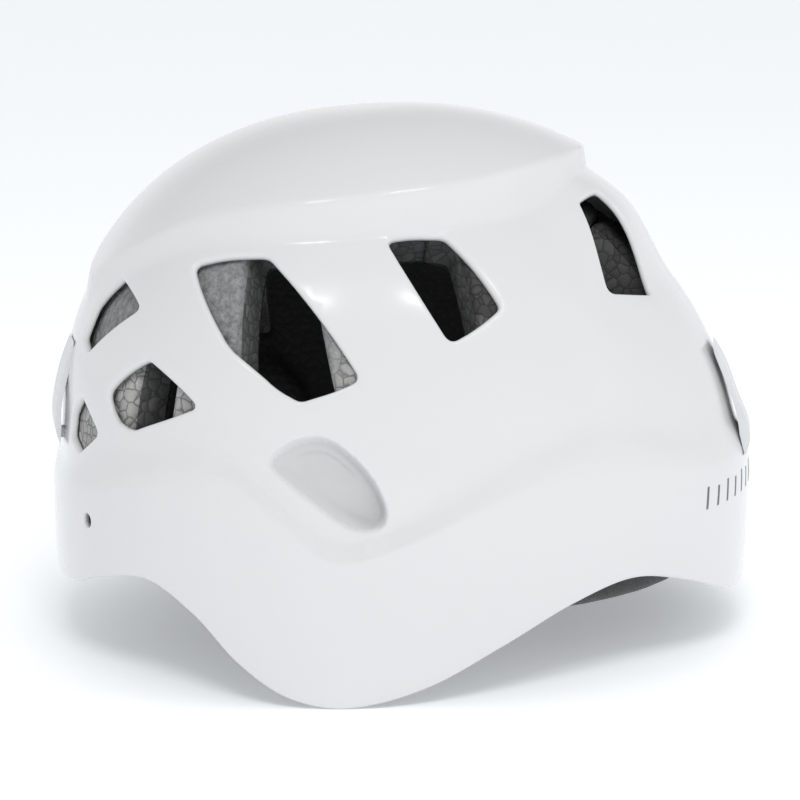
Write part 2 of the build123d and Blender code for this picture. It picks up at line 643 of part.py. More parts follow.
def main():
    shell_outer = offset_face(0)
    shell_inner = offset_face(SHELL_WALL)
    foam_outer = offset_face(SHELL_WALL + LINER_GAP)
    foam_inner = offset_face(LINER_INSET)
    pad_outer = offset_face(LINER_INSET + PART_GAP)
    pad_inner = offset_face(LINER_INSET + 5.5)
    save("outer_shell", make_outer_shell(shell_outer, shell_inner))
    save_pair("side_liner", make_side_liner(-1, foam_outer, foam_inner))
    save("crown_liner", make_crown_liner(foam_outer, foam_inner))
    save("crown_pad", make_crown_pad(pad_outer, pad_inner))
    save("headband_front", make_headband_front())
    save("forehead_pad", make_forehead_pad())
    save_pair("temple_pivot", make_temple_pivot())
    save_pair("headband_arm", make_headband_arm())
    save("size_rack_right", make_rack(True))
    save("size_rack_left", make_rack(False))
    save("dial_pinion", make_dial_pinion())
    save("dial_knob", make_dial_knob())
    save("nape_cradle", make_nape_cradle())
    save("housing_cover", make_housing_cover())
    save("housing_screws", make_housing_screws())
    save("nape_pad", make_nape_pad())
    save("front_strap_right", make_front_strap_right())
    save("front_strap_left", make_front_strap_left())
    save("chin_strap_tail", make_chin_strap_tail())
    save_pair("rear_strap", make_rear_strap_right())
    save_pair("front_anchor", make_front_anchor())
    save_pair("rear_anchor", make_rear_anchor())
    save_pair("side_adjuster", make_side_adjuster())
    save("buckle_socket", make_buckle_socket())
    save("buckle_tongue", make_buckle_tongue())
    save("strap_keeper", make_strap_keeper())
    for name, (azimuth, z_range, side) in CLIPS.items():
        save(name, make_headlamp_clip(azimuth, z_range, side))


if __name__ == "__main__":
    main()
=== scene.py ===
import math

import bmesh
import bpy
import numpy as np
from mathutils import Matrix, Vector
from mathutils.geometry import delaunay_2d_cdt


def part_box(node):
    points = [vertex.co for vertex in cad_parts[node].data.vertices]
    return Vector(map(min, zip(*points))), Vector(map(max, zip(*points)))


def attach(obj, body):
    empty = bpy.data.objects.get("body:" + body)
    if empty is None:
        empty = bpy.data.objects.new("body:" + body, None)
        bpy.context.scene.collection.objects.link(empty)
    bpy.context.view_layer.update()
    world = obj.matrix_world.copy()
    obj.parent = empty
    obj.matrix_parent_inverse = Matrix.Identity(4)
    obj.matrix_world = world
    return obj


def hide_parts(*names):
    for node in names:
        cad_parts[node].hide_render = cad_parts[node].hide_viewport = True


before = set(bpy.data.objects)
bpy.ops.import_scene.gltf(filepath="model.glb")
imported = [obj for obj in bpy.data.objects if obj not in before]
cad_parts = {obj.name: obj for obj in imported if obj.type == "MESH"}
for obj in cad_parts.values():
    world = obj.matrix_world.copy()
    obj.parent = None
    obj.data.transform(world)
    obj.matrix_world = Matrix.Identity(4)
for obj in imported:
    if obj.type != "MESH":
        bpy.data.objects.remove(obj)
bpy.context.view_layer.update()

MM = 0.001

# ---- the shell's shape in millimetres and degrees: the CAD shell's, with a higher crown, a fuller
# brow and crisper creases ----
# Azimuth runs from the rear centre towards the wearer's right (-X); elevation from the centre.
CENTRE = np.array([0.0, 2.2, 55.0])
HALF_WIDTH = 103.0
FRONT_LENGTH = 131.0
REAR_LENGTH = 124.5
CROWN_HEIGHT = 130.0
SKIRT_HEIGHT = 260.0
SECTION_POWER = 2.25
FRONT_POWER = 1.92
REAR_POWER = 2.5
SHELL_WALL = 2.2
BAND_BULGE = 3.1
CROWN_RISE = 8.0
CROWN_RISE_POWER = 1.2
CROWN_LIFT = 1.4
REAR_CROWN_LIFT = 2.0
BROW_FULLNESS = 7.6
NAPE_FULLNESS = 1.6
CROWN_EDGE = [(0, 36), (15, 42), (32, 50), (54, 55.5), (84, 60.5), (117, 62.5), (150, 62), (180, 60.5)]
CREASE = [(0, 2), (21, 6), (40, 12), (49, 12.4), (58, 6), (65, 0), (71, -1), (80, 2), (100, 10.4),
          (119, 15), (141, 9.5), (180, 6)]
RIM = [(-148.5, 17), (-131.5, 17), (-109.5, 23), (-89.5, 32.5), (-65.5, 38.5), (-41.5, 32.5),
       (-15.5, 19.5), (10.5, 6.5), (37.5, 0), (57.5, 3.5), (73.5, 15), (87.5, 31),
       (102.5, 41), (117.5, 36), (125.5, 28.5), (136.5, 26)]

# vents: corners as azimuth and elevation, each with its corner radius in mm, and how far the
# side that follows the corner bulges outward in mm
VENTS = {
    "rear_upper": [(15.6, 38.0, 1.4, 0.4), (25.4, 34.9, 1.6, 0.2), (13.2, 26.0, 1.4, 0), (9.2, 27.6, 1.6, 0),
                   (9.9, 32.6, 6, 0.2)],
    "rear_lower": [(13.8, 19.0, 1.2, 0.3), (20.6, 14.6, 1.4, 0.3), (13.6, 10.2, 1.2, 0), (8.9, 12, 1.6, 0),
                   (9.9, 15.6, 5, 0.2)],
    "rear_side": [(31.2, 28.0, 3.0, 0.5), (43.0, 22.7, 1.8, 0.4), (30.0, 17.0, 5.0, 0.3), (26, 17.6, 4, 0.3),
                  (22.4, 21.3, 4.0, 0.5)],
    "side": [(33.0, 43.4, 2.6, 0.4), (48.6, 47.9, 5.0, 0.8), (71.8, 30.6, 3.5, 0.4), (60.4, 25.9, 5.0, 0.8),
             (46.2, 32.6, 20.0, 0.5)],
    "upper_side": [(75.6, 54.6, 2.6, 0.3), (92.6, 55.9, 4.0, 0.6), (103.6, 42.6, 3.2, 0.5),
                   (90.2, 37.0, 4.0, 0.6)],
    "front": [(140.2, 55.6, 1.8, 0.1), (150.8, 55.2, 2.0, 1.2), (145.4, 37.4, 1.8, 0.3),
              (132.0, 40.6, 3.5, 0.3)],
}


def smooth(value):
    value = np.clip(value, 0.0, 1.0)
    return value * value * (3 - 2 * value)


def follow(curve, azimuth):
    """Cubic curve through (position, value) pairs, level at both ends."""
    xs = np.array([p[0] for p in curve], float)
    ys = np.array([p[1] for p in curve], float)
    slopes = np.zeros(len(xs))
    slopes[1:-1] = (ys[2:] - ys[:-2]) / (xs[2:] - xs[:-2])
    i = np.clip(np.searchsorted(xs, azimuth, side="right") - 1, 0, len(xs) - 2)
    width = xs[i + 1] - xs[i]
    t = np.clip((azimuth - xs[i]) / width, 0, 1)
    rise = ys[i] * (1 + 2 * t) * (1 - t) ** 2 + ys[i + 1] * t * t * (3 - 2 * t)
    return rise + width * (slopes[i] * t * (1 - t) ** 2 - slopes[i + 1] * t * t * (1 - t))


def soft_limit(value, limit, softness):
    """The smaller of value and limit, with the corner between them rounded."""
    mix = np.maximum(softness - np.abs(value - limit), 0) / softness
    return np.minimum(value, limit) - mix * mix * softness / 4


def ledge(t, softness):
    """Step from 0 to 1 with a hollow foot and a crisp shoulder rounded by softness."""
    inner = np.clip(t, 0, 1)
    ramp = np.where(t < 1, inner * inner * (2 - inner), 1 + (t - 1))
    return soft_limit(ramp, 1.0, softness)


def crown_ramp(azimuth):
    """Degrees of elevation that the crown's step takes: steeper towards the front."""
    return 5.0 - 2.7 * smooth((azimuth - 120) / 40)


def crown_share(azimuth, elevation):
    """How much of the crown's rise a point has: 0 on the body, 1 on the crown."""
    t = (elevation - follow(CROWN_EDGE, azimuth)) / crown_ramp(azimuth) + 1
    steep = smooth((azimuth - 130) / 30)
    straight = soft_limit(np.clip(t, 0, 9), 1.0, 0.1)
    return ledge(t, 0.08) * (1 - steep) + straight * steep


def crown_step(azimuth, elevation, forward):
    """What the raised crown, the brow below its front and the nape add to the plain radius."""
    rise = CROWN_RISE * np.maximum(0, 1 + forward) ** CROWN_RISE_POWER
    rise = rise + CROWN_LIFT + REAR_CROWN_LIFT * smooth((0.2 - forward) / 0.6)
    brow = BROW_FULLNESS * smooth((elevation - 37) / 16) * smooth((azimuth - 122) / 28)
    nape = NAPE_FULLNESS * smooth((-forward - 0.3) / 0.4) * smooth((elevation - 12) / 12)
    share = crown_share(azimuth, elevation)
    return rise * share + (brow + nape) * (1 - share)


def shoulder_width(azimuth):
    """Degrees of elevation that the lower band's shoulder takes: narrow over the side lobe."""
    near = smooth((azimuth - 43) / 7) * (1 - smooth((azimuth - 74) / 30))
    return 5.5 - 3.2 * near


def band_step(azimuth, elevation):
    """What the bulged lower band adds to the radius below the crease."""
    near = smooth((azimuth - 44) / 6) * (1 - smooth((azimuth - 72) / 16))
    width = shoulder_width(azimuth)
    t = 1 - (elevation - follow(CREASE, azimuth)) / width
    return BAND_BULGE * ledge(t, 0.4 - 0.22 * near)


# finger pocket: its outline as azimuth and elevation
POCKET = [(55.0, 15.4), (56.6, 17.8), (60.6, 20.3), (64.4, 21.0), (67.4, 20.2), (70.8, 17.8), (73.8, 14.8),
          (75.9, 11.3), (77.2, 7.4), (76.2, 4.6), (72.8, 3.3), (69.0, 4.3), (63.0, 8.8), (57.5, 12.9)]
POCKET_MIDDLE = (66.0, 11.5)


def pocket_plane(azimuth, elevation):
    across = (azimuth - POCKET_MIDDLE[0]) * np.cos(np.radians(elevation))
    return np.stack([across, elevation - POCKET_MIDDLE[1]], -1)


def smooth_loop(points, rounds=3):
    """Closed outline rounded by repeated corner cutting."""
    for _ in range(rounds):
        after = np.roll(points, -1, 0)
        points = np.stack([points * 0.75 + after * 0.25, points * 0.25 + after * 0.75], 1).reshape(-1, 2)
    return points


POCKET_LOOP = smooth_loop(pocket_plane(*np.array(POCKET).T))


def pocket_reach(azimuth, elevation):
    """How far inside the pocket's outline a point is, in degrees; negative outside."""
    flat = pocket_plane(azimuth, elevation)
    result = np.full(len(flat), -9.0)
    near = np.hypot(flat[:, 0], flat[:, 1]) < 18
    if not near.any():
        return result
    start = POCKET_LOOP
    span = np.roll(start, -1, 0) - start
    away = flat[near][:, None, :] - start[None]
    t = np.clip((away * span).sum(-1) / (span * span).sum(-1), 0, 1)
    gap = np.linalg.norm(away - t[..., None] * span, axis=-1).min(1)
    result[near] = np.where(inside_polygon(flat[near], POCKET_LOOP), gap, -gap)
    return result


def pocket_dish(azimuth, elevation):
    """Depth of the finger pocket: a wall round its upper side, a step inside it, and a scoop."""
    reach = pocket_reach(azimuth, elevation)
    flat = pocket_plane(azimuth, elevation)
    from_low_side = 0.57 * (flat[:, 0] + 10.7) + 0.82 * (flat[:, 1] - 3.9)
    down_slope = np.clip((0.80 * (flat[:, 0] + 9) - 0.60 * (flat[:, 1] - 7)) / 20, 0, 1)
    upper = smooth(from_low_side / 4.5)
    wall = 0.9 * smooth(reach / 0.45) * upper
    ledge_fade = smooth((flat[:, 1] - 0.5) / 3.5) * smooth((flat[:, 0] + 6.5) / 3)
    step = 0.9 * smooth((reach - 2.3) / 0.4) * ledge_fade
    scoop = (0.7 + 4.6 * down_slope) * smooth(reach / (1.6 + 3.0 * (1 - upper)))
    return wall + step + scoop


def angles(d):
    azimuth = np.degrees(np.arctan2(np.abs(d[:, 0]), d[:, 1]))
    elevation = np.degrees(np.arcsin(np.clip(d[:, 2], -1, 1)))
    return azimuth, elevation


def plain_radius(d):
    """Distance from the centre to the smooth body of the shell along unit directions."""
    x, y, z = d[:, 0], d[:, 1], d[:, 2]
    reach = np.where(y < 0, FRONT_LENGTH, REAR_LENGTH)
    lean = y / np.maximum(np.hypot(x, y), 1e-9)
    power = (FRONT_POWER + REAR_POWER) / 2 + (REAR_POWER - FRONT_POWER) / 2 * lean
    power = np.where(z < 0, 2.2, power)
    height = np.where(z < 0, SKIRT_HEIGHT, CROWN_HEIGHT)
    section = ((np.abs(x) / HALF_WIDTH) ** SECTION_POWER + (np.abs(y) / reach) ** SECTION_POWER)
    section = section ** (1 / SECTION_POWER)
    return (section ** power + (np.abs(z) / height) ** power) ** (-1 / power)


def shell_radius(d):
    azimuth, elevation = angles(d)
    radius = plain_radius(d) + crown_step(azimuth, elevation, -d[:, 1])
    return radius + band_step(azimuth, elevation) - pocket_dish(azimuth, elevation)


def directions(azimuth, elevation, side=-1):
    a, e = np.radians(azimuth), np.radians(elevation)
    return np.stack([side * np.sin(a) * np.cos(e), np.cos(a) * np.cos(e), np.sin(e)], -1)


def shell_points(azimuth, elevation, inset=0.0, side=-1):
    d = directions(np.asarray(azimuth, float), np.asarray(elevation, float), side)
    return CENTRE + d * (shell_radius(d) - inset)[:, None]


def rim_elevation(azimuth):
    """Elevation of the rim line at each azimuth."""
    azimuth = np.asarray(azimuth, float)
    low = np.full(azimuth.shape, -40.0)
    high = np.full(azimuth.shape, 20.0)
    for _ in range(32):
        middle = (low + high) / 2
        p = shell_points(azimuth, middle)
        above = p[:, 2] > follow(RIM, p[:, 1] - CENTRE[1])
        high = np.where(above, middle, high)
        low = np.where(above, low, middle)
    return (low + high) / 2


# ---- flat map of the right half: polar angle from the top, and azimuth ----
def to_map(azimuth, elevation):
    polar = 90 - np.asarray(elevation, float)
    a = np.radians(azimuth)
    return np.round(np.stack([polar * np.sin(a), polar * np.cos(a)], -1), 9)


def from_map(points):
    polar = np.hypot(points[:, 0], points[:, 1])
    azimuth = np.degrees(np.arctan2(np.maximum(points[:, 0], 0), points[:, 1]))
    return azimuth, 90 - polar


class Outline:
    """A rounded opening laid out on the plane that touches the shell at its middle."""

    def __init__(self, corners, spacing):
        azimuth = np.array([c[0] for c in corners], float)
        elevation = np.array([c[1] for c in corners], float)
        points = shell_points(azimuth, elevation)
        self.lay_plane(points.mean(0))
        flat = self.flatten(points)
        self.line = rounded_outline(flat, [c[2] for c in corners], [c[3] for c in corners], spacing)
        step = np.roll(self.line, -1, 0) - np.roll(self.line, 1, 0)
        step /= np.linalg.norm(step, axis=1)[:, None]
        turn = np.cross(self.line, np.roll(self.line, -1, 0)).sum()
        self.outward = np.stack([step[:, 1], -step[:, 0]], -1) * (1 if turn > 0 else -1)

    def lay_plane(self, origin):
        self.origin = origin
        self.normal = (origin - CENTRE) / np.linalg.norm(origin - CENTRE)
        self.x = np.cross([0, 0, 1], self.normal)
        self.x /= np.linalg.norm(self.x)
        self.y = np.cross(self.normal, self.x)

    def flatten(self, points):
        """Plane coordinates of points, seen from the shell's centre."""
        ray = points - CENTRE
        ray = ray * (np.dot(self.origin - CENTRE, self.normal) / (ray @ self.normal))[:, None]
        local = ray + CENTRE - self.origin
        return np.stack([local @ self.x, local @ self.y], -1)

    def ring(self, outset):
        """Map points of the outline moved outward by outset mm."""
        flat = self.line + self.outward * outset
        d = self.origin + flat[:, :1] * self.x + flat[:, 1:] * self.y - CENTRE
        d /= np.linalg.norm(d, axis=1)[:, None]
        azimuth, elevation = angles(d)
        return to_map(azimuth, elevation)

    def distance(self, map_points):
        """Signed distance in mm from the outline, positive outside; far points get a large value."""
        azimuth, elevation = from_map(map_points)
        d = directions(azimuth, elevation)
        facing = d @ self.normal
        result = np.full(len(map_points), 999.0)
        near = facing > 0.75
        if not near.any():
            return result
        flat = self.flatten(CENTRE + d[near] * 100)
        start = self.line
        span = np.roll(self.line, -1, 0) - start
        away = flat[:, None, :] - start[None]
        t = np.clip((away * span).sum(-1) / (span * span).sum(-1), 0, 1)
        gap = np.linalg.norm(away - t[..., None] * span, axis=-1)
        nearest = gap.argmin(1)
        result[near] = np.where(inside_polygon(flat, self.line), -1, 1) * gap[np.arange(len(flat)), nearest]
        return result


def inside_polygon(points, polygon):
    x, y = points[:, :1], points[:, 1:]
    x0, y0 = polygon[:, 0], polygon[:, 1]
    x1, y1 = np.roll(x0, -1), np.roll(y0, -1)
    spans = (y0 > y) != (y1 > y)
    with np.errstate(divide="ignore", invalid="ignore"):
        crossing = x < (x1 - x0) * (y - y0) / (y1 - y0) + x0
    return (spans & crossing).sum(1) % 2 == 1


def rounded_outline(corners, radii, bulges, spacing):
    """Closed outline with round corners and gently bowed sides, evenly stepped."""
    count = len(corners)
    middle = corners.mean(0)
    path = []
    for k in range(count):
        here, after, before = corners[k], corners[(k + 1) % count], corners[k - 1]
        to_after = (after - here) / np.linalg.norm(after - here)
        to_before = (before - here) / np.linalg.norm(before - here)
        half = math.acos(np.clip(to_after @ to_before, -1, 1)) / 2
        reach = radii[k] / math.tan(half)
        reach = min(reach, 0.45 * min(np.linalg.norm(after - here), np.linalg.norm(before - here)))
        start, end = here + to_before * reach, here + to_after * reach
        for t in np.linspace(0, 1, 9):
            path.append(start * (1 - t) ** 2 + here * 2 * t * (1 - t) + end * t * t)
        next_half_reach = radii[(k + 1) % count]
        side_end = after - to_after * min(next_half_reach, 0.45 * np.linalg.norm(after - here))
        out = np.array([to_after[1], -to_after[0]])
        if out @ ((here + after) / 2 - middle) < 0:
            out = -out
        for t in (0.2, 0.35, 0.5, 0.65, 0.8):
            path.append(end * (1 - t) + side_end * t + out * bulges[k] * 4 * t * (1 - t))
    path = np.array(path)
    for _ in range(3):
        path = resample(path, spacing * 0.5)
        path = (np.roll(path, 1, 0) + 2 * path + np.roll(path, -1, 0)) / 4
    return resample(path, spacing)


def resample(path, spacing):
    closed = np.vstack([path, path[:1]])
    gaps = np.linalg.norm(np.diff(closed, axis=0), axis=1)
    along = np.concatenate([[0], np.cumsum(gaps)])
    count = max(12, int(round(along[-1] / spacing)))
    at = np.linspace(0, along[-1], count, endpoint=False)
    return np.stack([np.interp(at, along, closed[:, k]) for k in range(2)], -1)


def row_points(elevation_of, spacing, steps=None):
    """Map points of one row over the right half, from the rear centre to the front centre."""
    dense = np.linspace(0, 180, 361)
    p = shell_points(dense, elevation_of(dense))
    along = np.concatenate([[0], np.cumsum(np.linalg.norm(np.diff(p, axis=0), axis=1))])
    count = steps or max(2, int(round(along[-1] / spacing)))
    azimuth = np.interp(np.linspace(0, along[-1], count + 1), along, dense)
    azimuth[0], azimuth[-1] = 0, 180
    return to_map(azimuth, elevation_of(azimuth))


LIP_ROUND = [0.0, 0.1, 0.3, 0.6, 1.0, 1.5]       # mm from an edge at which its rounding has rings
RING_MARGIN = 0.45                               # clear share of a step around an opening's rings
POCKET_CLEAR = (-1.8, 5.6)                       # rows stop between these reaches, in degrees


def lip_drop(distance, radius):
    """How far a rounded edge has dropped at a distance from it."""
    inside_arc = np.clip(radius - distance, 0, radius)
    return radius - np.sqrt(np.maximum(radius * radius - inside_arc * inside_arc, 0))


def triangulate(points, edges, keep):
    """Triangles over map points that honour edges and whose middles pass keep."""
    vectors = [Vector(p) for p in points]
    out = delaunay_2d_cdt(vectors, edges, [], 0, 1e-7)
    verts = np.array([tuple(v) for v in out[0]])
    faces = np.array([f for f in out[2] if len(f) == 3])
    middles = verts[faces].mean(1)
    flat = (np.abs(verts[faces][:, :, 0]) < 1e-6).all(1)
    return verts, faces[keep(middles) & ~flat]


class HalfSkin:
    """Triangulated right half of a surface with openings, on the flat map.

    bottom, top and rows give an elevation at each azimuth; a top of None closes the half at the
    pole. The first edge_rows rows follow the bottom edge and are kept as edges of the mesh.
    """

    def __init__(self, bottom, top, rows, openings, spacing, rings, extra=None, edge_rows=0):
        low_points = row_points(bottom, spacing)
        high_points = np.zeros((1, 2)) if top is None else row_points(top, spacing)
        points = [low_points]
        count = len(low_points)
        edges = [(i, i + 1) for i in range(count - 1)]
        for opening in openings:
            for outset in rings:
                ring = opening.ring(outset)
                points.append(ring)
                edges += [(count + i, count + (i + 1) % len(ring)) for i in range(len(ring))]
                count += len(ring)
        margin = max(rings) + spacing * RING_MARGIN
        if extra is not None:
            points.append(to_map(*extra))
        for k, row in enumerate(rows):
            line = row_points(row, spacing, len(low_points) - 1 if k < edge_rows else None)
            clear = edge_distance(line, openings) > margin
            if k < edge_rows and clear.all():
                start = sum(len(part) for part in points)
                edges += [(start + i, start + i + 1) for i in range(len(line) - 1)]
            if extra is not None:
                reach = pocket_reach(*from_map(line))
                clear &= (reach < POCKET_CLEAR[0]) | (reach > POCKET_CLEAR[1])
            points.append(line[clear])
        points.append(high_points)
        border = np.vstack([low_points, high_points[::-1]])

        def keep(middles):
            good = inside_polygon(middles, border)
            for opening in openings:
                good &= opening.distance(middles) > 0
            return good

        self.points, self.faces = triangulate(np.vstack(points), edges, keep)


def mesh_object(name, points, faces, *materials):
    mesh = bpy.data.meshes.new(name)
    mesh.from_pydata((np.asarray(points) * MM).tolist(), [], [[int(i) for i in f] for f in faces])
    obj = bpy.data.objects.new(name, mesh)
    bpy.context.scene.collection.objects.link(obj)
    for material in materials:
        mesh.materials.append(material)
    mesh.shade_smooth()
    return obj


def open_edges(faces):
    """Edges that only one triangle uses, in that triangle's direction."""
    found = set()
    for a, b, c in faces:
        for edge in ((a, b), (b, c), (c, a)):
            if (edge[1], edge[0]) in found:
                found.discard((edge[1], edge[0]))
            else:
                found.add(edge)
    return sorted(found)


FOAM_CROWN_SHARE = 0.75


def foam_radius(d):
    """The foam's own smoother outside, which stays below the shell's crown step."""
    azimuth, elevation = angles(d)
    rise = CROWN_RISE * np.maximum(0, 1 - d[:, 1]) ** CROWN_RISE_POWER
    step = smooth((elevation - follow(CROWN_EDGE, azimuth) - 1.0) / 8.0)
    reach = plain_radius(d) + rise * step * FOAM_CROWN_SHARE
    return np.minimum(reach, shell_radius(d))


def closed_wall(name, half, outer_inset, inner_inset, materials, side=0, seam_gap=0.0, reach_of=None):
    """Wall between two insets of the shell's surface. Side 0 is both halves as one piece."""
    azimuth, elevation = from_map(half.points)
    d = directions(azimuth, elevation)
    seam = np.abs(half.points[:, 0]) < 1e-6
    d[seam, 0] = 0
    radius = (reach_of or shell_radius)(d)
    outer = CENTRE + d * (radius - outer_inset)[:, None]
    inner = CENTRE + d * (radius - inner_inset)[:, None]
    a, b, c = (half.points[half.faces[:, k]] for k in range(3))
    turn = np.cross(b - a, c - a)
    faces = np.where((turn > 0)[:, None], half.faces[:, ::-1], half.faces)
    if side == 0:
        count = len(outer)
        index = np.where(seam, np.arange(count), np.cumsum(~seam) - 1 + count)
        mirror = np.array([-1, 1, 1])
        outer = np.vstack([outer, outer[~seam] * mirror])
        inner = np.vstack([inner, inner[~seam] * mirror])
        faces = np.vstack([faces, index[faces][:, ::-1]])
    else:
        shift = np.array([-seam_gap, 0, 0])
        outer, inner = outer + shift, inner + shift
        if side > 0:
            outer, inner = outer * np.array([-1, 1, 1]), inner * np.array([-1, 1, 1])
            faces = faces[:, ::-1]
    total = len(outer)
    walls = [(b, a, a + total, b + total) for a, b in open_edges([tuple(int(i) for i in f) for f in faces])]
    quads = [list(f) for f in faces] + [list(f) for f in faces[:, ::-1] + total] + [list(w) for w in walls]
    obj = mesh_object(name, np.vstack([outer, inner]), quads, *materials)
    if len(materials) == 3:
        count = len(faces)
        kinds = [0] * count + [2] * count + [1] * len(walls)
        obj.data.polygons.foreach_set("material_index", kinds)
    return obj


# ---- shell ----
SPACING = 2.1


def between(low, high, share):
    return lambda azimuth: low(azimuth) * (1 - share) + high(azimuth) * share


def crease_line(azimuth):
    return np.maximum(follow(CREASE, azimuth), rim_elevation(azimuth) + 3.5)


def shoulder_line(azimuth):
    low = follow(CREASE, azimuth) - shoulder_width(azimuth)
    return np.maximum(low, rim_elevation(azimuth) + 2.0)


def crown_foot(azimuth):
    return follow(CROWN_EDGE, azimuth) - crown_ramp(azimuth)


def crown_line(azimuth):
    return follow(CROWN_EDGE, azimuth)


def top_line(azimuth):
    return np.full(np.shape(azimuth), 89.0)


def above_line(line, degrees):
    return lambda azimuth: line(azimuth) + degrees


def shell_rows():
    rows = [above_line(rim_elevation, lift) for lift in (0.12, 0.3, 0.55, 0.85)]
    rows += [between(above_line(rim_elevation, 0.85), shoulder_line, k / 14) for k in range(1, 15)]
    rows += [between(shoulder_line, crease_line, k / 6) for k in range(1, 7)]
    rows += [between(crease_line, crown_foot, k / 22) for k in range(1, 23)]
    rows += [between(crown_foot, crown_line, k / 8) for k in range(1, 8)]
    rows += [above_line(crown_line, lift) for lift in (-0.3, 0.0, 0.3, 0.8)]
    rows += [between(above_line(crown_line, 0.8), top_line, k / 18) for k in range(1, 18)]
    return rows


def pocket_grid():
    """Close points over the pocket's rim."""
    a, e = np.meshgrid(np.arange(50, 81, 0.36), np.arange(-2, 24, 0.33))
    a, e = a.ravel(), e.ravel()
    near = (pocket_reach(a, e) > -1.2) & (pocket_reach(a, e) < 5)
    return a[near], e[near]


class Disc(Outline):
    """Round cord hole, laid out like a vent."""

    def __init__(self, azimuth, elevation, radius):
        self.lay_plane(shell_points([azimuth], [elevation])[0])
        turn = np.linspace(0, 2 * math.pi, 28, endpoint=False)
        self.outward = np.stack([np.cos(turn), np.sin(turn)], -1)
        self.line = self.outward * radius


CORD_HOLE = (20.0, 0.45)
CORD_HOLE_RADIUS = 2.5
openings = {name: Outline(corners, 0.9) for name, corners in VENTS.items()}
cord_bore = Disc(*CORD_HOLE, CORD_HOLE_RADIUS)
shell_openings = list(openings.values()) + [cord_bore]
LIP = 1.5
BORE_LIP = 0.7
RIM_LIP = 1.1
MM_PER_DEGREE = 1.9
EDGE_ROWS = 5


def edge_distance(points, outlines):
    nearest = np.full(len(points), 999.0)
    for outline in outlines:
        nearest = np.minimum(nearest, outline.distance(points))
    return np.maximum(nearest, 0)


def shell_lip(points):
    azimuth, elevation = from_map(points)
    rim_gap = np.maximum((elevation - rim_elevation(azimuth)) * MM_PER_DEGREE, 0)
    drop = lip_drop(edge_distance(points, shell_openings[:-1]), LIP)
    bore = lip_drop(edge_distance(points, [cord_bore]), BORE_LIP)
    return np.maximum(np.maximum(drop, bore), lip_drop(rim_gap, RIM_LIP))


shell_half = HalfSkin(rim_elevation, None, shell_rows(), shell_openings, SPACING,
                      LIP_ROUND, pocket_grid(), EDGE_ROWS)
lip = shell_lip(shell_half.points)


# ---- materials ----
def new_material(name, color, roughness, **sockets):
    material = bpy.data.materials.new(name)
    material.use_nodes = True
    shader = material.node_tree.nodes["Principled BSDF"]
    shader.inputs["Base Color"].default_value = (*color, 1)
    shader.inputs["Roughness"].default_value = roughness
    for key, value in sockets.items():
        shader.inputs[key.replace("_", " ")].default_value = value
    return material


def node(material, kind, values=None, **settings):
    made = material.node_tree.nodes.new(kind)
    for key, value in settings.items():
        setattr(made, key, value)
    for key, value in (values or {}).items():
        made.inputs[key].default_value = value
    return made


def wire(material, source, target):
    material.node_tree.links.new(source, target)


def shader_of(material):
    return material.node_tree.nodes["Principled BSDF"]


def paint(material, color):
    wire(material, color, shader_of(material).inputs["Base Color"])


def object_coordinates(material):
    return node(material, "ShaderNodeTexCoord").outputs["Object"]


def bumpy(material, height, strength, distance):
    bump = node(material, "ShaderNodeBump", {"Strength": strength, "Distance": distance})
    wire(material, height, bump.inputs["Height"])
    wire(material, bump.outputs["Normal"], shader_of(material).inputs["Normal"])


def noise_of(material, scale, detail=2.0, roughness=0.5):
    noise = node(material, "ShaderNodeTexNoise", {"Scale": scale, "Detail": detail, "Roughness": roughness})
    wire(material, object_coordinates(material), noise.inputs["Vector"])
    return noise.outputs["Fac"]


def ramp_of(material, source, stops):
    ramp = node(material, "ShaderNodeValToRGB")
    while len(ramp.color_ramp.elements) < len(stops):
        ramp.color_ramp.elements.new(0.5)
    for element, (position, color) in zip(ramp.color_ramp.elements, stops):
        element.position = position
        element.color = (*color, 1)
    wire(material, source, ramp.inputs["Fac"])
    return ramp.outputs["Color"]


def grey(value):
    return (value, value, value)


def plastic(name, low, high, roughness, grain_scale, grain, coat=0.0, cloud_scale=45):
    material = new_material(name, high, roughness, Coat_Weight=coat, Coat_Roughness=0.12)
    cloud = noise_of(material, cloud_scale, 2)
    paint(material, ramp_of(material, cloud, [(0.3, low), (0.7, high)]))
    rough = node(material, "ShaderNodeMapRange", {"To Min": roughness * 0.94, "To Max": roughness * 1.06})
    wire(material, noise_of(material, 160, 2), rough.inputs["Value"])
    wire(material, rough.outputs["Result"], shader_of(material).inputs["Roughness"])
    if grain:
        bumpy(material, noise_of(material, grain_scale, 2), grain, 0.0002)
    return material


def band_mask(material, axis, low, high):
    """0 to 1 as the object coordinate on an axis goes from low to high."""
    parts = node(material, "ShaderNodeSeparateXYZ")
    wire(material, object_coordinates(material), parts.inputs["Vector"])
    mask = node(material, "ShaderNodeMapRange", {"From Min": low, "From Max": high})
    wire(material, parts.outputs[axis], mask.inputs["Value"])
    return mask.outputs["Result"]


def times(material, first, second):
    product = node(material, "ShaderNodeMath", operation="MULTIPLY")
    wire(material, first, product.inputs[0])
    wire(material, second, product.inputs[1])
    return product.outputs["Value"]


def mixed_color(material, factor, first, second, blend="MIX"):
    mix = node(material, "ShaderNodeMix", data_type="RGBA", blend_type=blend)
    for socket, value in (("Factor", factor), (6, first), (7, second)):
        if isinstance(value, (tuple, float)):
            mix.inputs[socket].default_value = value
        else:
            wire(material, value, mix.inputs[socket])
    return mix.outputs[2]


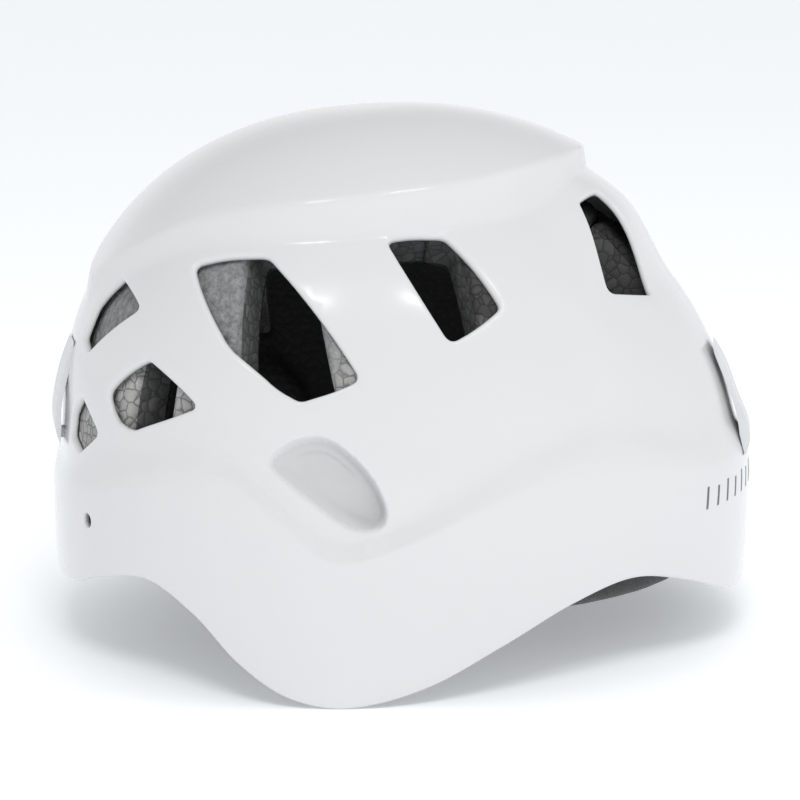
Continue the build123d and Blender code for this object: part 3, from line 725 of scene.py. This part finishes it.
def bead_material(name, light, dark, border, regions=False):
    """Moulded bead foam: rounded polygon cells with dark lines; with regions, also patches with a smooth skin
    and a front upper patch darkened as painted shade.
    """
    material = new_material(name, light, 0.85)
    coordinates = object_coordinates(material)
    wobble = node(material, "ShaderNodeTexNoise", {"Scale": 500.0, "Detail": 2.0})
    wire(material, coordinates, wobble.inputs["Vector"])
    moved = node(material, "ShaderNodeVectorMath", operation="MULTIPLY_ADD")
    moved.inputs[1].default_value = (0.0009, 0.0009, 0.0009)
    wire(material, wobble.outputs["Color"], moved.inputs[0])
    wire(material, coordinates, moved.inputs[2])
    beads = {"Scale": 250.0, "Randomness": 0.85}
    cells = node(material, "ShaderNodeTexVoronoi", beads, feature="F1")
    edges = node(material, "ShaderNodeTexVoronoi", beads, feature="DISTANCE_TO_EDGE")
    for texture in (cells, edges):
        wire(material, moved.outputs["Vector"], texture.inputs["Vector"])
    tone = ramp_of(material, cells.outputs["Color"], [(0.1, dark), (0.9, light)])
    speck = ramp_of(material, noise_of(material, 1500, 4, 0.7), [(0.3, grey(0.78)), (0.7, grey(1.0))])
    tone = mixed_color(material, 1.0, tone, speck, "MULTIPLY")
    line = ramp_of(material, edges.outputs["Distance"], [(0.0, border), (0.10, (1, 1, 1))])
    color = mixed_color(material, 1.0, tone, line, "MULTIPLY")
    height = ramp_of(material, edges.outputs["Distance"], [(0.0, grey(0)), (0.3, grey(1))])
    if regions:
        fuzz = ramp_of(material, noise_of(material, 420, 7, 0.75), [(0.30, grey(0.10)), (0.72, grey(0.34))])
        skin = times(material, band_mask(material, "Z", 0.110, 0.116), band_mask(material, "Y", 0.036, 0.044))
        color = mixed_color(material, skin, color, fuzz)
        # painted shade: foam high up and towards the front is multiplied down to 0.14 of its colour, standing
        # in for the shade inside the vents
        painted_shade_mask = times(material, band_mask(material, "Z", 0.120, 0.132), band_mask(material, "Y", 0.040, 0.030))
        shaded_colour = mixed_color(material, 1.0, color, (0.14, 0.14, 0.14, 1), "MULTIPLY")
        color = mixed_color(material, painted_shade_mask, color, shaded_colour)
    paint(material, color)
    bumpy(material, height, 0.55, 0.0006)
    return material


def fibre_material(name, low, high, scale, strength):
    material = new_material(name, high, 0.95, Sheen_Weight=0.25, Sheen_Roughness=0.5)
    fine = noise_of(material, scale, 6, 0.7)
    paint(material, ramp_of(material, fine, [(0.3, low), (0.72, high)]))
    bumpy(material, fine, strength, 0.0008)
    return material


shell_plastic = plastic("shell plastic", grey(0.640), grey(0.648), 0.20, 60, 0.004, 0.6, 12)
# with regions, the bead foam here and the crown foam below also get the front upper patch of painted shade
bead_foam = bead_material("bead foam", (0.47, 0.465, 0.45), (0.34, 0.335, 0.325), grey(0.36), True)
# painted shade: the foam's cut walls at its windows and edges are coloured much darker than its moulded face,
# standing in for the shade on them
cut_foam_shade = bead_material("cut foam painted shade", grey(0.15), grey(0.09), grey(0.5))
# painted shade: the liners' inside faces are coloured near black, much darker than the foam's outside,
# standing in for the shade inside the helmet
liner_inside_shade = bead_material("liner inside painted shade", grey(0.014), grey(0.008), grey(0.6))
crown_foam = bead_material("crown foam", (0.44, 0.435, 0.42), (0.32, 0.315, 0.305), grey(0.36), True)
felt = fibre_material("pad felt", (0.022, 0.021, 0.021), (0.085, 0.082, 0.080), 1400, 0.6)
band_plastic = plastic("band plastic", grey(0.012), grey(0.02), 0.42, 700, 0.10)
knob_plastic = plastic("knob plastic", grey(0.018), grey(0.03), 0.5, 500, 0.15)
webbing = new_material("webbing", grey(0.03), 0.8, Sheen_Weight=0.3)
buckle_plastic = plastic("buckle plastic", grey(0.010), grey(0.016), 0.35, 800, 0.06)
keeper_rubber = plastic("keeper rubber", grey(0.02), grey(0.028), 0.75, 900, 0.08)
clip_plastic = plastic("clip plastic", (0.64, 0.645, 0.65), (0.68, 0.685, 0.69), 0.32, 600, 0.03)
screw_steel = new_material("screw steel", (0.55, 0.55, 0.54), 0.32, Metallic=1.0)
print_ink = plastic("print ink", (0.10, 0.105, 0.11), (0.13, 0.135, 0.14), 0.4, 900, 0.03)

# painted shade: darker tones inside the finger pocket stand in for the shade in the recess, not for a
# different colour of plastic
POCKET_SHADE_TONES = (0.605, 0.56, 0.51)
POCKET_SHADE_STEPS = [0.1, 0.5, 0.9]              # degrees inside the outline at which each tone starts


def paint_pocket_shade(shell):
    """Painted shade inside the finger pocket: darker tones of a less glossy plastic, in steps from its
    outline inward.
    """
    for k, tone in enumerate(POCKET_SHADE_TONES, 1):
        satin_with_shade = plastic("pocket painted shade %d" % k, grey(tone), grey(tone + 0.008), 0.42, 60, 0.004, 0.1, 12)
        shell.data.materials.append(satin_with_shade)
    middles = np.empty(len(shell.data.polygons) * 3)
    shell.data.polygons.foreach_get("center", middles)
    spokes = middles.reshape(-1, 3) / MM - CENTRE
    spokes /= np.linalg.norm(spokes, axis=1)[:, None]
    shade_index = np.searchsorted(POCKET_SHADE_STEPS, pocket_reach(*angles(spokes)))
    shell.data.polygons.foreach_set("material_index", shade_index.astype(np.int32))


outer_shell = closed_wall("outer_shell", shell_half, lip, np.full(len(lip), SHELL_WALL), [shell_plastic])
# colours the finger pocket darker in steps, as painted shade
paint_pocket_shade(outer_shell)
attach(outer_shell, "shell")
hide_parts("outer_shell")


# ---- foam liners ----
FOAM_TOP = 163.0
FOAM_BOTTOM = 46.0
FOAM_OUTER = 2.7
FOAM_INNER = 20.0
WINDOWS = {
    "rear_side": [(27.3, 30, 2, 0), (36, 30, 2, 0), (36, 14.5, 2, 0), (27.3, 14.5, 2, 0)],
    "side": [(41.3, 51, 2, 0), (56.4, 51, 3, 0), (67.5, 24.5, 3, 0), (49, 24.5, 3, 0)],
    "upper_side": [(72.5, 57.5, 3, 0), (97, 57.5, 3, 0), (98, 35.5, 3, 0), (75, 35.5, 3, 0)],
    "front": [(127, 58.5, 3, 0), (156, 58.5, 3, 0), (152, 35, 3, 0), (128, 37, 3, 0)],
}


def height_line(height):
    """Elevation at each azimuth where the shell's surface has a given height."""
    def line(azimuth):
        azimuth = np.asarray(azimuth, float)
        low = np.full(azimuth.shape, -20.0)
        high = np.full(azimuth.shape, 80.0)
        for _ in range(30):
            middle = (low + high) / 2
            above = shell_points(azimuth, middle)[:, 2] > height
            high = np.where(above, middle, high)
            low = np.where(above, low, middle)
        return (low + high) / 2
    return line


foam_low = height_line(FOAM_BOTTOM - 1.0)
foam_high = height_line(FOAM_TOP)
foam_windows = [Outline(corners, 1.6) for corners in WINDOWS.values()]
FOAM_RINGS = [0.0, 0.5, 1.2, 2.2, 3.2]
FOAM_STEP = 4.0
FOAM_LIP = 2.8
LINER_GAP = 0.25


def side_foam_rows():
    rows = [above_line(foam_low, lift) for lift in (0.4, 1.0)]
    rows += [between(above_line(foam_low, 1.0), above_line(foam_high, -1.2), k / 24) for k in range(1, 24)]
    rows += [above_line(foam_high, lift) for lift in (-1.2, -0.5)]
    return rows


side_half = HalfSkin(foam_low, foam_high, side_foam_rows(), foam_windows, FOAM_STEP, FOAM_RINGS)
azimuth, elevation = from_map(side_half.points)
edge = edge_distance(side_half.points, foam_windows)
edge = np.minimum(edge, np.abs(foam_high(azimuth) - elevation) * 2)
edge = np.minimum(edge, np.abs(elevation - foam_low(azimuth)) * 2)
side_outer = FOAM_OUTER + lip_drop(edge, FOAM_LIP)
side_inner = FOAM_INNER - lip_drop(edge, FOAM_LIP)
for side, end in ((-1, "right"), (1, "left")):
    # the cut walls and the inside faces of each side liner carry painted shade
    liner = closed_wall("side_liner_" + end, side_half, side_outer, side_inner,
                        [bead_foam, cut_foam_shade, liner_inside_shade], side, LINER_GAP, foam_radius)
    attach(liner, "shell")
    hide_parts("side_liner_" + end)

crown_low = above_line(foam_high, 0.35)
crown_rows = [above_line(crown_low, lift) for lift in (0.4, 1.2)]
crown_rows += [between(above_line(crown_low, 1.2), top_line, k / 14) for k in range(1, 14)]
crown_half = HalfSkin(crown_low, None, crown_rows, [], 5.0, [0.0])
azimuth, elevation = from_map(crown_half.points)
edge = np.abs(elevation - crown_low(azimuth)) * 2
# the cut walls and the inside faces of the crown liner carry painted shade
crown_liner = closed_wall("crown_liner", crown_half, FOAM_OUTER + lip_drop(edge, FOAM_LIP),
                          FOAM_INNER - lip_drop(edge, FOAM_LIP), [crown_foam, cut_foam_shade, liner_inside_shade],
                          reach_of=foam_radius)
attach(crown_liner, "shell")
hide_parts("crown_liner")


# ---- pads ----
def ruffle(points, size, depth, seed):
    """Soft uneven offsets for padded pieces, the same on every run."""
    rng = np.random.default_rng(seed)
    total = np.zeros(len(points))
    for _ in range(6):
        way = rng.normal(size=3)
        way /= np.linalg.norm(way)
        total += np.sin(points @ way * (2 * math.pi / size) * rng.uniform(0.6, 1.6) + rng.uniform(0, 6.28))
    return total * depth / 6


def section_point(azimuth, inset):
    """Plan point of the head-shaped section on the wearer's right, set in from the shell."""
    a = math.radians(azimuth)
    x, y = -math.sin(a), math.cos(a)
    reach = FRONT_LENGTH if y < 0 else REAR_LENGTH
    size = ((abs(x) / (HALF_WIDTH - inset)) ** SECTION_POWER + (abs(y) / (reach - inset)) ** SECTION_POWER)
    size = size ** (-1 / SECTION_POWER)
    return np.array([x * size, y * size + CENTRE[1]])


def grid_faces(rows, columns):
    faces = []
    for i in range(rows - 1):
        for j in range(columns):
            a = i * columns + j
            b = i * columns + (j + 1) % columns
            faces.append([a, b, b + columns, a + columns])
    return faces


def closed_ring_tube(rings):
    """Vertices and faces of a tube through rings of points, closed at both ends by a fan."""
    rings = [np.asarray(ring) for ring in rings]
    columns = len(rings[0])
    points = np.vstack(rings + [rings[0].mean(0)[None], rings[-1].mean(0)[None]])
    faces = grid_faces(len(rings), columns)
    first, last = len(points) - 2, len(points) - 1
    start = (len(rings) - 1) * columns
    for j in range(columns):
        faces.append([first, (j + 1) % columns, j])
        faces.append([last, start + j, start + (j + 1) % columns])
    return points, faces


def soften(obj, levels=1):
    modifier = obj.modifiers.new("smooth", "SUBSURF")
    modifier.levels = levels
    modifier.render_levels = levels
    bpy.context.view_layer.objects.active = obj
    obj.select_set(True)
    bpy.ops.object.modifier_apply(modifier=modifier.name)
    obj.select_set(False)


def outward_normals(obj):
    work = bmesh.new()
    work.from_mesh(obj.data)
    bmesh.ops.recalc_face_normals(work, faces=work.faces)
    work.to_mesh(obj.data)
    work.free()


# forehead pad: a folded felt cushion over the lower edge of the front band
PAD_START = 112.0
PAD_STEPS = 150
PAD_QUILTS = 9
PAD_MIDDLE = 35.0
PAD_FREE = (19.7, 22.6)                          # insets between which the felt lies on the band
PAD_FREE_INNER = 19.5
PAD_PROFILE = [(20.0, 27.2), (20.0, 32), (20.0, 38), (19.9, 43.6), (18.8, 45.3), (17.0, 45.0),
               (15.7, 43.0), (15.1, 39), (15.0, 34), (15.2, 29), (16.2, 25.6), (18.6, 24.1),
               (21.2, 24.0), (23.4, 25.4), (24.5, 28.6), (24.9, 34), (24.6, 39), (24.1, 43),
               (23.2, 45.2), (22.5, 43.6), (22.4, 38), (22.4, 32), (22.4, 27.2), (21.2, 26.4)]


def puffed(inset, swell):
    """Inset of a profile point once the felt on its side of the band is swollen."""
    near, far = PAD_FREE
    if inset < PAD_FREE_INNER:
        return near + (inset - near) * swell
    if inset > far:
        return far + (inset - far) * swell
    return inset


def forehead_ring(share):
    """The pad's section at a share of its length, thinner towards its ends."""
    azimuth = PAD_START + (360 - 2 * PAD_START) * share
    plump = math.sqrt(min(1.0, (min(share, 1 - share) * PAD_STEPS + 0.6) / 5))
    quilt = 0.5 * abs(math.sin(math.pi * share * PAD_QUILTS)) ** 0.7
    swell = plump * (0.86 + 0.28 * quilt)
    ring = []
    for inset, height in PAD_PROFILE:
        x, y = section_point(azimuth, puffed(inset, swell))
        ring.append((x, y, PAD_MIDDLE + (height - PAD_MIDDLE) * (0.94 + 0.06 * plump)))
    return ring


def make_forehead_pad():
    points, faces = closed_ring_tube([forehead_ring(i / PAD_STEPS) for i in range(PAD_STEPS + 1)])
    wave = ruffle(points, 22, 0.45, 3) + ruffle(points, 9, 0.22, 4)
    out = points - np.array([0, CENTRE[1], PAD_MIDDLE])
    out /= np.linalg.norm(out, axis=1)[:, None]
    near, far = PAD_FREE
    free = np.tile([0.0 if near < inset < far else 1.0 for inset, _ in PAD_PROFILE], PAD_STEPS + 1)
    free = np.concatenate([free, [0, 0]])
    pad = mesh_object("forehead_pad", points + out * (wave * free)[:, None], faces, felt)
    outward_normals(pad)
    soften(pad)
    return pad


forehead_pad = make_forehead_pad()
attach(forehead_pad, "shell")
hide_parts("forehead_pad")


def cushion(name, body, half_x, half_y, place, thickness, corner, seed, tuft=0.0):
    """Closed puffed pad over a rounded rectangle; place(x, y, lift) gives its points in mm."""
    rows, columns = 22, 72
    rings_up, rings_down = [], []
    for i in range(1, rows + 1):
        share = math.sin(math.pi / 2 * i / rows)
        top, bottom = [], []
        for j in range(columns):
            turn = 2 * math.pi * j / columns
            c, s = math.cos(turn), math.sin(turn)
            size = (abs(c) ** corner + abs(s) ** corner) ** (-1 / corner)
            x, y = half_x * c * size * share, half_y * s * size * share
            full = (1 - share ** 6) ** 0.5
            puff = thickness * full * (1 - tuft * math.cos(x * 0.36) ** 8)
            top.append(place(x, y, 0.08 * thickness * (1 - full)))
            bottom.append(place(x, y, 0.12 * thickness + 0.88 * puff))
        rings_up.append(top)
        rings_down.append(bottom)
    points, faces = closed_ring_tube(rings_up + rings_down[::-1])
    points = points + ruffle(points, 16, 0.2, seed)[:, None] * 0.4
    obj = mesh_object(name, points, faces, felt)
    outward_normals(obj)
    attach(obj, body)
    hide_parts(name)
    return obj


PAD_CLEARANCE = 0.4


def under_crown(x, y, lift):
    """Point under the crown liner's inside, set in by lift."""
    z = 95.0
    for _ in range(12):
        d = np.array([[x, y, z]])
        d /= np.linalg.norm(d)
        reach = foam_radius(d)[0] - FOAM_INNER - PAD_CLEARANCE - lift
        z = math.sqrt(max(reach * reach - x * x - y * y, 1.0))
    return (x, y + CENTRE[1], z + CENTRE[2])


cushion("crown_pad", "shell", 28, 42, under_crown, 4.6, 4.5, 11)
nape_low, nape_high = (np.array(side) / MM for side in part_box("nape_pad"))
nape_middle = (nape_low + nape_high) / 2
nape_half = (nape_high - nape_low) / 2


def before_nape(x, y, lift):
    """Point in front of the nape cradle's face, set forward by lift."""
    return (x, nape_high[1] - 0.05 - lift, nape_middle[2] + y)


cushion("nape_pad", "cradle", nape_half[0], nape_half[2], before_nape, 7.0, 5.0, 12, 0.35)


# ---- webbing ----
WEB_WIDTH = 15.0
WEB_THICKNESS = 1.4
CHIN_Y = -60.0
CHIN_Z = 37.5
STRAP_Y = -21.0
TAIL_GAP = 0.35
REAR_STRAP_GAP = 0.2


def rounded_path(corners, radius, step=1.0):
    """Plan path through corners, each turned with an arc-like bend."""
    corners = [np.array(c, float) for c in corners]
    path = [corners[0]]
    for before, here, after in zip(corners, corners[1:], corners[2:]):
        back_way = (before - here) / np.linalg.norm(before - here)
        on_way = (after - here) / np.linalg.norm(after - here)
        half = math.acos(np.clip(back_way @ on_way, -1, 1)) / 2
        reach = radius / math.tan(half)
        centre = here + (back_way + on_way) / np.linalg.norm(back_way + on_way) * radius / math.sin(half)
        start, end = here + back_way * reach, here + on_way * reach
        first, last = start - centre, end - centre
        for t in np.linspace(0, 1, 12):
            spoke = first * (1 - t) + last * t
            path.append(centre + spoke / np.linalg.norm(spoke) * radius)
    path.append(corners[-1])
    path = np.array(path)
    gaps = np.linalg.norm(np.diff(path, axis=0), axis=1)
    along = np.concatenate([[0], np.cumsum(gaps)])
    at = np.linspace(0, along[-1], max(3, int(along[-1] / step)))
    return np.stack([np.interp(at, along, path[:, k]) for k in range(2)], -1)


def webbing_piece(name, path, body):
    """Upright flat webbing with a ribbed weave along a plan path."""
    way = np.gradient(path, axis=0)
    way /= np.linalg.norm(way, axis=1)[:, None]
    side_way = np.stack([-way[:, 1], way[:, 0]], -1)
    heights = np.linspace(-1, 1, 31)
    rings = []
    for p, s in zip(path, side_way):
        ring = []
        for face in (1, -1):
            for h in heights if face == 1 else heights[::-1]:
                rib = 0.10 * (math.cos(h * math.pi * 9) - 1) / 2
                thin = (WEB_THICKNESS / 2 - 0.02 + rib) * (1 - abs(h) ** 14) ** 0.5
                q = p + s * face * thin
                ring.append((q[0], q[1], CHIN_Z + h * WEB_WIDTH / 2))
        ring = [r for k, r in enumerate(ring) if k not in (len(heights), 2 * len(heights) - 1)]
        rings.append(ring)
    points, faces = closed_ring_tube(rings)
    obj = mesh_object(name, points, faces, webbing)
    outward_normals(obj)
    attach(obj, body)
    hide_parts(name)
    return obj


front_right = rounded_path([(-86.6, STRAP_Y), (-50, STRAP_Y), (-45, CHIN_Y), (-36.9, CHIN_Y)], 9)
front_left = rounded_path([(86.6, STRAP_Y), (50, STRAP_Y), (45, CHIN_Y), (26.1, CHIN_Y)], 9)
tail_y = CHIN_Y - WEB_THICKNESS - TAIL_GAP
tail = rounded_path([(8.9, tail_y), (34, tail_y)], 0)
webbing_piece("front_strap_right", front_right, "shell")
webbing_piece("front_strap_left", front_left, "shell")
webbing_piece("chin_strap_tail", tail, "buckle")
rear_y = STRAP_Y + WEB_THICKNESS + REAR_STRAP_GAP
rear_corners = [section_point(56, 14), section_point(76, 14), (-87, rear_y), (-54, rear_y)]
for sign, end in ((1, "right"), (-1, "left")):
    corners = [(c[0] * sign, c[1]) for c in rear_corners]
    webbing_piece("rear_strap_" + end, rounded_path(corners, 6), "shell")

# weave: fine diagonal twill on every strap
twill = node(webbing, "ShaderNodeTexWave", {"Scale": 420.0, "Distortion": 0.6, "Detail": 1.0},
             wave_type="BANDS", bands_direction="DIAGONAL")
wire(webbing, object_coordinates(webbing), twill.inputs["Vector"])
paint(webbing, ramp_of(webbing, twill.outputs["Fac"], [(0.2, grey(0.012)), (0.8, grey(0.05))]))
bumpy(webbing, twill.outputs["Fac"], 0.5, 0.0003)


# ---- printed mark: a row of plain slanted bars ----
BAR_TURN = 0.55                                  # degrees of azimuth that a bar is wide
BAR_LEAN = 0.5                                   # degrees of azimuth that its top leans
SHORT_BAR = 0.8                                  # mm that every second bar is shorter


def bar_mark(name, start, end, count, low, high):
    """Thin closed bars on the shell's surface, between two azimuths and two heights."""
    points, faces = [], []
    for k in range(count):
        azimuth = start + (end - start) * k / (count - 1)
        tall = high - SHORT_BAR * (k % 2)
        outline = []
        for i in range(7):
            share = i / 6
            height = low + (tall - low) * share
            leaned = azimuth + BAR_LEAN * share
            outline.append((leaned, height_line(height)(np.array([leaned]))[0]))
        base = len(points)
        for a, e in outline:
            for da in (-BAR_TURN / 2, BAR_TURN / 2):
                for lift in (0.07, -0.3):
                    points.append(shell_points([a + da], [e], -lift)[0])
        for i in range(6):
            p, q = base + 4 * i, base + 4 * (i + 1)
            faces += [[p, p + 2, q + 2, q], [p + 1, q + 1, q + 3, p + 3]]
            faces += [[p, q, q + 1, p + 1], [p + 2, p + 3, q + 3, q + 2]]
        q = base + 24
        faces += [[base, base + 1, base + 3, base + 2], [q, q + 2, q + 3, q + 1]]
    obj = mesh_object(name, points, faces, print_ink)
    for polygon in obj.data.polygons:
        polygon.use_smooth = False
    outward_normals(obj)
    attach(obj, "shell")
    return obj


bar_mark("printed_bars", 141.0, 167.0, 9, 57.0, 65.0)

# ---- CAD pieces that stay get their materials ----
slot_material = {"band_plastic": band_plastic, "knob_plastic": knob_plastic, "buckle_plastic": buckle_plastic,
                 "keeper_rubber": keeper_rubber, "clip_plastic": clip_plastic, "screw_steel": screw_steel,
                 "bead_foam": bead_foam, "crown_foam": crown_foam, "pad_felt": felt, "webbing": webbing,
                 "shell_abs": shell_plastic}
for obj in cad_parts.values():
    for index, used in enumerate(list(obj.data.materials)):
        base = used.name.split(".")[0] if used else ""
        if base in slot_material:
            obj.data.materials[index] = slot_material[base]


# ---- stage, light and camera ----
def lamp(name, location, target, size, energy):
    data = bpy.data.lights.new(name, "AREA")
    data.shape = "RECTANGLE"
    data.size, data.size_y = size
    data.energy = energy
    obj = bpy.data.objects.new(name, data)
    obj.location = location
    obj.rotation_euler = (Vector(target) - Vector(location)).to_track_quat("-Z", "Y").to_euler()
    bpy.context.scene.collection.objects.link(obj)
    return obj


scene = bpy.context.scene
floor_mesh = bpy.data.meshes.new("floor")
floor_mesh.from_pydata([(-6, -6, 0), (6, -6, 0), (6, 6, 0), (-6, 6, 0)], [], [(0, 1, 2, 3)])
floor = bpy.data.objects.new("floor", floor_mesh)
scene.collection.objects.link(floor)
floor_material = new_material("floor", (0.93, 0.945, 0.96), 0.7, Emission_Strength=0.30)
shader_of(floor_material).inputs["Emission Color"].default_value = (0.93, 0.965, 1.0, 1)
floor_mesh.materials.append(floor_material)

world = bpy.data.worlds.new("studio")
scene.world = world
world.use_nodes = True
sky = world.node_tree.nodes["Background"]
tree = world.node_tree
where = tree.nodes.new("ShaderNodeTexCoord")
split = tree.nodes.new("ShaderNodeSeparateXYZ")
shade = tree.nodes.new("ShaderNodeValToRGB")
tree.links.new(where.outputs["Generated"], split.inputs["Vector"])
tree.links.new(split.outputs["Z"], shade.inputs["Fac"])
tree.links.new(shade.outputs["Color"], sky.inputs["Color"])
shade.color_ramp.elements[0].position = 0.12
shade.color_ramp.elements[0].color = (0.935, 0.95, 0.965, 1)
shade.color_ramp.elements[1].position = 0.5
shade.color_ramp.elements[1].color = (0.60, 0.61, 0.62, 1)
sky.inputs["Strength"].default_value = 1.0

AIM = Vector((0, -0.0001, 0.0837))
VIEW_AZIMUTH = math.radians(-102.06)
VIEW_ELEVATION = math.radians(13.02)
back = Vector((math.sin(VIEW_AZIMUTH) * math.cos(VIEW_ELEVATION),
               -math.cos(VIEW_AZIMUTH) * math.cos(VIEW_ELEVATION), math.sin(VIEW_ELEVATION)))
camera_data = bpy.data.cameras.new("camera")
camera_data.lens = 107.55
camera_data.sensor_width = 36
camera = bpy.data.objects.new("camera", camera_data)
camera.location = AIM + back * 0.9
camera.rotation_euler = back.to_track_quat("Z", "Y").to_euler()
scene.collection.objects.link(camera)
scene.camera = camera
scene.view_settings.view_transform = "Standard"

key = lamp("key", (-0.9, 0.15, 1.15), (0, 0, 0.1), (0.5, 0.30), 5.6)
fill = lamp("front fill", (-0.7, -1.2, 0.8), (0, 0, 0.1), (0.4, 0.8), 2.6)
key.visible_glossy = False
fill.visible_glossy = False
lamp("front strip", (-0.885, -0.365, 1.15), (0, 0, 0.12), (0.30, 0.10), 0.8)
lamp("rear strip", (-0.885, 0.365, 1.15), (0, 0, 0.12), (0.26, 0.10), 0.7)
